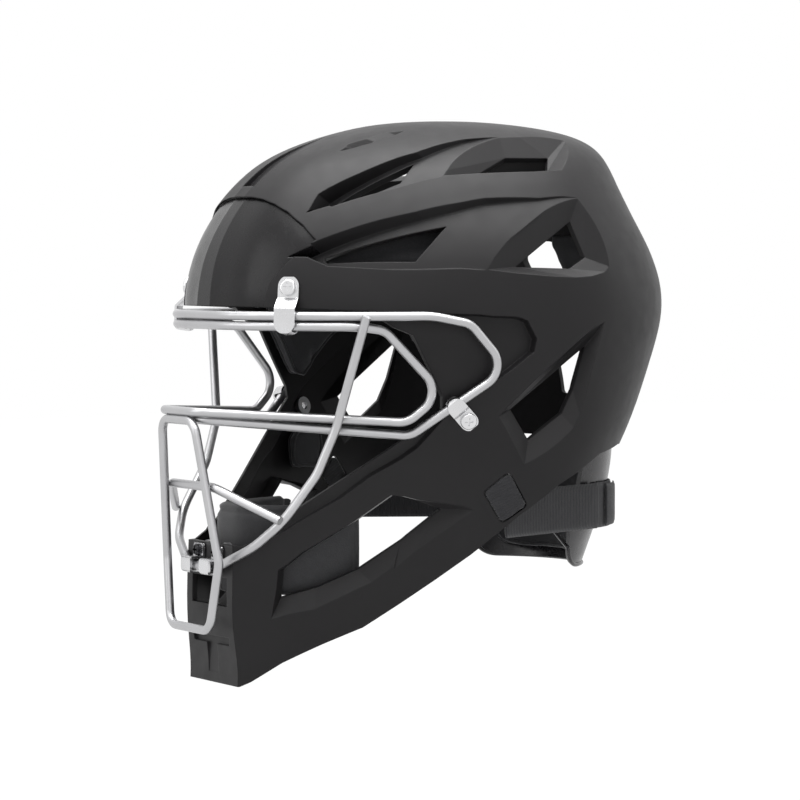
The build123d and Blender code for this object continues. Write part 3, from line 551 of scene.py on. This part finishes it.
def ribbon(name, path, body, width=STRAP_WIDTH):
    """Elastic webbing on its edge along a path: cross ribs and rounded selvedges."""
    total = run_length(path)
    count = int(total / (RIB_PITCH / ROWS_PER_RIB))
    distances = [total * min(k / count, LAST_SHARE) for k in range(count + 1)]
    form = bmesh.new()
    rows = []
    for distance, (centre, ahead) in zip(distances, along(path, distances)):
        up = (UP - ahead * UP.dot(ahead)).normalized()
        out = ahead.cross(up)
        rib = RIB_RISE * math.cos(2.0 * math.pi * distance / RIB_PITCH)
        row = []
        for side in (1.0, -1.0):
            for j in range(POINTS_ACROSS + 1):
                t = -side + side * 2.0 * j / POINTS_ACROSS
                round_off = math.sqrt(max(1.0 - abs(t) ** SELVEDGE_POWER, SELVEDGE_LEAST))
                lift = side * (STRAP_THICKNESS / 2.0 - RIB_RISE + rib) * round_off
                row.append(form.verts.new(centre + up * t * width / 2.0 + out * lift))
        rows.append(row)
    for near, far in zip(rows, rows[1:]):
        for j in range(len(near)):
            m = (j + 1) % len(near)
            form.faces.new((near[j], near[m], far[m], far[j]))
    form.faces.new(rows[0][::-1])
    form.faces.new(rows[-1])
    bmesh.ops.recalc_face_normals(form, faces=form.faces)
    mesh = bpy.data.meshes.new(name)
    form.to_mesh(mesh)
    form.free()
    return new_object(name, mesh, "strap_webbing", body)


# Pads of the inside, crowned and sewn: each channel's centre, way, depth and reach
PAD_CHANNELS = {
    "front_pad": [((0, 0, 0), (1, 0, 0), 0.0016, 0.005)],
    "crown_pad": [((0, 0.020, 0), (0, 1, 0), 0.0016, 0.005)],
    "rear_pad": [((0, 0, 0.186), (0, 0, 1), 0.0018, 0.005)],
    "temple_pad_left": [((0, -0.013, 0.185), (0.1, 0.8, 0.6), 0.0016, 0.005)],
    "temple_pad_right": [((0, -0.013, 0.185), (-0.1, 0.8, 0.6), 0.0016, 0.005)],
    "scoop_pad_left": [],
    "scoop_pad_right": [],
    "cheek_pad_left": [],
    "cheek_pad_right": [],
    "rear_plate_pad": [((0, 0, 0.090), (0, 0, 1), 0.0012, 0.005)],
}
# The chin cup is sewn along its height and its depth
CHIN_CHANNELS = [
    ((0, 0, 0.0915), (0, 0, 1), 0.0012, 0.0026),
    ((0, -0.0560, 0.08), (0, 1, 0), 0.0014, 0.0028),
]
covers = {name: padded_cover(name, "pad_cloth", channels) for name, channels in PAD_CHANNELS.items()}
padded_cover("chin_pad", "chin_cloth", CHIN_CHANNELS, shrink=0.0020, voxel=0.0035, rounds=12)

WELT_RADIUS = 0.0009
WELTS_PER_PAD = 2
WELTED_PADS = ("temple_pad_left", "temple_pad_right", "cheek_pad_left", "cheek_pad_right", "rear_plate_pad")
for name in WELTED_PADS:
    for count, ring in enumerate(edge_rings(nodes[name].data)[:WELTS_PER_PAD]):
        welt(f"{name}_welt_{count}", covers[name], ring, WELT_RADIUS, "pad_cloth", body_of[name])

# Elastic webbing round the rear plate, its folded ends, and the two free straps
STRAP_Z = 0.091
WRAP_AXIS_Y = 0.06394
WRAP_RADIUS = 0.0572
WRAP_ENDS_DEG = (26.0, 154.0)
TAB_RADIUS = 0.0593
TAB_ENDS_DEG = ((36.0, 64.0), (144.0, 116.0))
ARC_STEPS = 40


def arc(radius, start_deg, end_deg):
    points = []
    for k in range(ARC_STEPS + 1):
        turn = math.radians(start_deg + (end_deg - start_deg) * k / ARC_STEPS)
        points.append(Vector((radius * math.cos(turn), WRAP_AXIS_Y + radius * math.sin(turn), STRAP_Z)))
    return points


wrap = ribbon("strap_wrap_webbing", arc(WRAP_RADIUS, *WRAP_ENDS_DEG), "rear_guard")
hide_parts("strap_wrap")
for count, ends_deg in enumerate(TAB_ENDS_DEG):
    tab = ribbon(
        f"strap_tab_webbing_{count}", arc(TAB_RADIUS, *ends_deg), "rear_guard", STRAP_WIDTH - STRAP_THICKNESS
    )
    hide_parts("strap_tabs")
for name in ("strap_left", "strap_right"):
    corners = sorted((vertex.co.copy() for vertex in nodes[name].data.vertices), key=lambda place: place.y)
    half = len(corners) // 2
    ends = [sum(part, Vector()) / half for part in (corners[:half], corners[-half:])]
    strap = ribbon(name + "_webbing", ends, None)
    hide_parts(name)
    tuple(ends[0])
    tuple(ends[1])
    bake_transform(strap)

# The webbing that shows in each slot of the shell, with ribs raised on it
KEEPER_VOXEL = 0.0006
KEEPER_ROUNDS = 3
KEEPER_RIB_RISE = 0.00020
KEEPER_WAY = Vector((0.0, -0.45, 0.89)).normalized()
for name in ("strap_keeper_left", "strap_keeper_right"):
    form = linked(name + "_form", nodes[name].data.copy())
    add_remesh(form, KEEPER_VOXEL)
    add_smooth(form, KEEPER_ROUNDS)
    mesh = applied(form)
    bpy.data.objects.remove(form)
    normals = [vertex.normal.copy() for vertex in mesh.vertices]
    for vertex, normal in zip(mesh.vertices, normals):
        wave = math.cos(2.0 * math.pi * vertex.co.dot(KEEPER_WAY) / RIB_PITCH)
        vertex.co += normal * KEEPER_RIB_RISE * (wave - 1.0)
    keeper = new_object(name + "_webbing", mesh, "strap_webbing", body_of[name])
    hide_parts(name)

# The rear plate's raised rim
RIM_STEP = 0.003
RIM_RADIUS = 0.0012
for count, ring in enumerate(edge_rings(nodes["rear_plate"].data)[:1]):
    tube(f"rear_plate_rim_{count}", spaced(ring, RIM_STEP), RIM_RADIUS, "plate_plastic", "rear_guard")

# Studio: a pale floor, a white surround and soft lamps
FLOOR_REACH = 3.0
FLOOR_COLOUR = (0.9, 0.9, 0.9, 1)
FLOOR_GLOW = 1.03
FLOOR_HIDDEN_SHARE = 0.97
SURROUND_STRENGTH = 1.0
FILL_STRENGTH = 0.25
WHITE = (1, 1, 1, 1)


def two_input_math(tree, operation, a, b):
    """An operation on an output and another output or a number."""
    made = tree.nodes.new("ShaderNodeMath")
    made.operation = operation
    tree.links.new(a, made.inputs[0])
    if isinstance(b, float):
        made.inputs[1].default_value = b
    else:
        tree.links.new(b, made.inputs[1])
    return made.outputs[0]


def background_factor(tree):
    """1 for camera, glossy and transmission rays."""
    path = tree.nodes.new("ShaderNodeLightPath").outputs
    seen = two_input_math(tree, "MAXIMUM", path["Is Camera Ray"], path["Is Glossy Ray"])
    return two_input_math(tree, "MAXIMUM", seen, path["Is Transmission Ray"])


def white_source(tree, kind, strength):
    made = tree.nodes.new(kind)
    made.inputs["Color"].default_value = WHITE
    made.inputs["Strength"].default_value = strength
    return made.outputs[0]


def mixed_onto(tree, factor, a, b, socket):
    """Mix two shaders and feed an output node's socket."""
    mix = tree.nodes.new("ShaderNodeMixShader")
    for made, place in zip((factor, a, b), mix.inputs):
        tree.links.new(made, place)
    tree.links.new(mix.outputs[0], socket)


world = bpy.data.worlds.new("studio")
scene.world = world
world.use_nodes = True
world_tree = world.node_tree
world_tree.nodes.clear()
mixed_onto(
    world_tree,
    background_factor(world_tree),
    white_source(world_tree, "ShaderNodeBackground", FILL_STRENGTH),
    white_source(world_tree, "ShaderNodeBackground", SURROUND_STRENGTH),
    world_tree.nodes.new("ShaderNodeOutputWorld").inputs[0],
)

floor_finish = bpy.data.materials.new("floor")
floor_finish.use_nodes = True
floor_tree = floor_finish.node_tree
floor_bsdf = floor_tree.nodes["Principled BSDF"]
floor_bsdf.inputs["Base Color"].default_value = FLOOR_COLOUR
floor_bsdf.inputs["Roughness"].default_value = 1.0
mixed_onto(
    floor_tree,
    two_input_math(floor_tree, "MULTIPLY", background_factor(floor_tree), FLOOR_HIDDEN_SHARE),
    floor_bsdf.outputs[0],
    white_source(floor_tree, "ShaderNodeEmission", FLOOR_GLOW),
    floor_tree.nodes["Material Output"].inputs[0],
)
floor_mesh = bpy.data.meshes.new("floor")
floor_corners = [(x * FLOOR_REACH, y * FLOOR_REACH, 0.0) for x, y in ((-1, -1), (1, -1), (1, 1), (-1, 1))]
floor_mesh.from_pydata(floor_corners, [], [tuple(range(len(floor_corners)))])
floor_mesh.materials.append(floor_finish)
linked("floor", floor_mesh)

# Lamps: place, target, size and power
LAMPS = {
    "top_lamp": ((0.12, -0.05, 1.35), (0, 0, 0.2), (1.5, 1.3), 42),
    "front_lamp": ((-0.1, -1.5, 0.8), (0, 0, 0.15), (0.9, 0.9), 4),
    "side_lamp": ((1.4, -0.8, 0.7), (0, 0, 0.15), (0.9, 0.9), 2),
    "rear_lamp": ((0.4, 1.4, 0.7), (0, 0, 0.15), (0.8, 0.8), 2),
}
for name, (place, target, size, power) in LAMPS.items():
    lamp = bpy.data.lights.new(name, "AREA")
    lamp.shape = "RECTANGLE"
    lamp.size, lamp.size_y = size
    lamp.energy = power
    set_facing(linked(name, lamp), place, Vector(target) - Vector(place))
